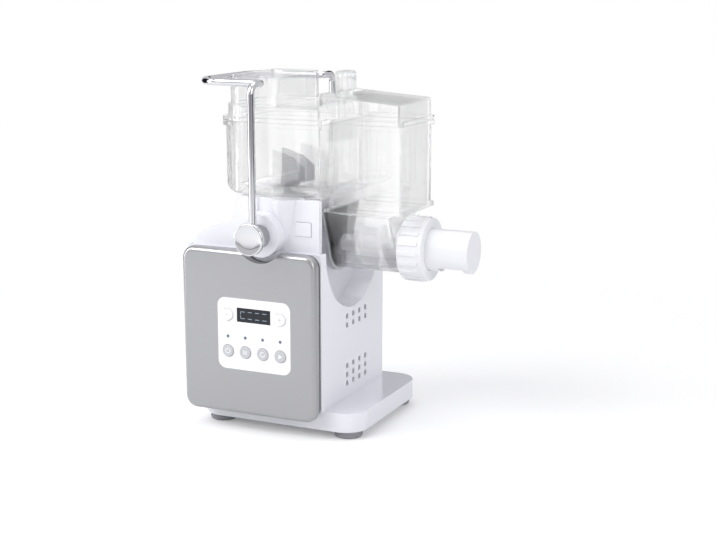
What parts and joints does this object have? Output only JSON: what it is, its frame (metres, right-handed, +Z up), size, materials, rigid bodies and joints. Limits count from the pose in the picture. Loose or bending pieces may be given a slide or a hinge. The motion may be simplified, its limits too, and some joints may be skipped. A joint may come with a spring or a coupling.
{
  "type": "electric pasta maker",
  "caption": "Countertop electric pasta maker with a clear kneading bowl and pressing chamber over a motor base, keypad panel and side extruder.",
  "frame": {"origin": "on the table under the middle of the bounding box", "axes": "+Z up, front panel towards -Y, extruder outlet towards +X"},
  "size_m": [0.267, 0.188, 0.34],
  "materials": {
    "white_plastic": "glossy moulded white",
    "silver_panel": "satin silver grey metallic",
    "dark_trim": "glossy dark grey",
    "white_fascia": "glossy white insert",
    "display_black": "polished black window",
    "white_key": "satin white",
    "grey_key": "satin grey",
    "chrome": "polished",
    "clear_plastic": "clear moulded plastic",
    "grey_plastic": "moulded grey",
    "light_plastic": "moulded off white",
    "grey_rubber": "soft grey rubber",
    "steel": "turned steel",
    "board_green": "circuit board",
    "lamp_lens": "small tinted lens",
    "gear_plastic": "moulded gear plastic",
    "black_plastic": "moulded black"
  },
  "bodies": {
    "root": {"main_housing": "white_plastic", "base_cover": "white_plastic", "cover_screws": "steel", "foot_front_left": "grey_rubber", "foot_front_right": "grey_rubber", "foot_rear_left": "grey_rubber", "foot_rear_right": "grey_rubber", "front_panel": "silver_panel", "panel_trim": "dark_trim", "control_fascia": "white_fascia", "display_window": "display_black", "indicator_lenses": "lamp_lens", "control_board": "board_green", "front_pivot_pin": "steel", "rear_pivot_pin": "steel", "mixing_container": "clear_plastic", "paddle_bush": "light_plastic", "paddle_bearing": "steel", "barrel_end_plate": "steel", "shaping_disc": "light_plastic", "nozzle_cap": "light_plastic", "idler_pin": "steel", "motor_can": "steel", "motor_bracket": "black_plastic", "gear_plate": "black_plastic", "motor_bearing": "steel", "output_bearing": "steel", "power_inlet": "black_plastic", "container_switch": "black_plastic"},
    "handle": {"handle_rod": "chrome", "front_pivot_hub": "grey_plastic", "front_pivot_disc": "chrome", "rear_pivot_hub": "grey_plastic", "rear_pivot_disc": "chrome"},
    "lid": {"lid": "clear_plastic"},
    "gate": {"chamber_gate": "clear_plastic"},
    "locking_ring": {"locking_ring": "light_plastic"},
    "lower_key_1": {"lower_key_1": "grey_key"},
    "lower_key_2": {"lower_key_2": "grey_key"},
    "lower_key_3": {"lower_key_3": "grey_key"},
    "lower_key_4": {"lower_key_4": "grey_key"},
    "upper_key_left": {"upper_key_left": "white_key"},
    "upper_key_right": {"upper_key_right": "white_key"},
    "release_button": {"release_button": "white_plastic"},
    "motor": {"motor_rotor": "steel", "motor_pinion": "steel", "cooling_fan": "black_plastic"},
    "idler": {"idler_large_gear": "gear_plastic", "idler_small_gear": "gear_plastic"},
    "output": {"output_gear": "gear_plastic", "output_shaft": "steel", "bevel_driver": "steel", "extruder_screw": "light_plastic"},
    "paddle": {"bevel_driven": "steel", "paddle_shaft": "steel", "kneading_paddle": "grey_plastic"}
  },
  "joints": [
    {"name": "handle_swing", "type": "hinge", "parent": "root", "child": "handle", "pos_m": [-0.05, 0, 0.1915], "axis": [0, -1, 0], "range_deg": [0, 95]},
    {"name": "lid_lift", "type": "slide", "parent": "root", "child": "lid", "axis": [0, 0, 1], "range_m": [0, 0.05]},
    {"name": "gate_slide", "type": "slide", "parent": "root", "child": "gate", "axis": [0, 0, 1], "range_m": [0, 0.05]},
    {"name": "ring_turn", "type": "hinge", "parent": "root", "child": "locking_ring", "pos_m": [0.0805, 0, 0.178], "axis": [1, 0, 0], "range_deg": [0, 60]},
    {"name": "lower_key_1_press", "type": "slide", "parent": "root", "child": "lower_key_1", "axis": [0, 1, 0], "range_m": [0, 0.0008], "stiffness_N_per_m": 800},
    {"name": "lower_key_2_press", "type": "slide", "parent": "root", "child": "lower_key_2", "axis": [0, 1, 0], "range_m": [0, 0.0008], "stiffness_N_per_m": 800},
    {"name": "lower_key_3_press", "type": "slide", "parent": "root", "child": "lower_key_3", "axis": [0, 1, 0], "range_m": [0, 0.0008], "stiffness_N_per_m": 800},
    {"name": "lower_key_4_press", "type": "slide", "parent": "root", "child": "lower_key_4", "axis": [0, 1, 0], "range_m": [0, 0.0008], "stiffness_N_per_m": 800},
    {"name": "upper_key_left_press", "type": "slide", "parent": "root", "child": "upper_key_left", "axis": [0, 1, 0], "range_m": [0, 0.0008], "stiffness_N_per_m": 800},
    {"name": "upper_key_right_press", "type": "slide", "parent": "root", "child": "upper_key_right", "axis": [0, 1, 0], "range_m": [0, 0.0008], "stiffness_N_per_m": 800},
    {"name": "release_press", "type": "slide", "parent": "root", "child": "release_button", "axis": [0, 1, 0], "range_m": [0, 0.0025], "stiffness_N_per_m": 800},
    {"name": "motor_spin", "type": "hinge", "parent": "root", "child": "motor", "pos_m": [-0.0645, 0, 0.083], "axis": [1, 0, 0], "continuous": true},
    {"name": "idler_spin", "type": "hinge", "parent": "root", "child": "idler", "pos_m": [-0.0345, 0, 0.131], "axis": [1, 0, 0], "continuous": true},
    {"name": "output_spin", "type": "hinge", "parent": "root", "child": "output", "pos_m": [-0.0045, 0, 0.178], "axis": [1, 0, 0], "continuous": true},
    {"name": "paddle_spin", "type": "hinge", "parent": "root", "child": "paddle", "pos_m": [-0.0545, 0, 0.208], "axis": [0, 0, 1], "continuous": true}
  ],
  "couplings": [
    {"joint": "lid_lift", "follows": "handle_swing", "m_per_rad": 0.030155},
    {"joint": "idler_spin", "follows": "motor_spin", "ratio": -0.2},
    {"joint": "output_spin", "follows": "motor_spin", "ratio": 0.054054},
    {"joint": "paddle_spin", "follows": "motor_spin", "ratio": -0.054054}
  ]
}
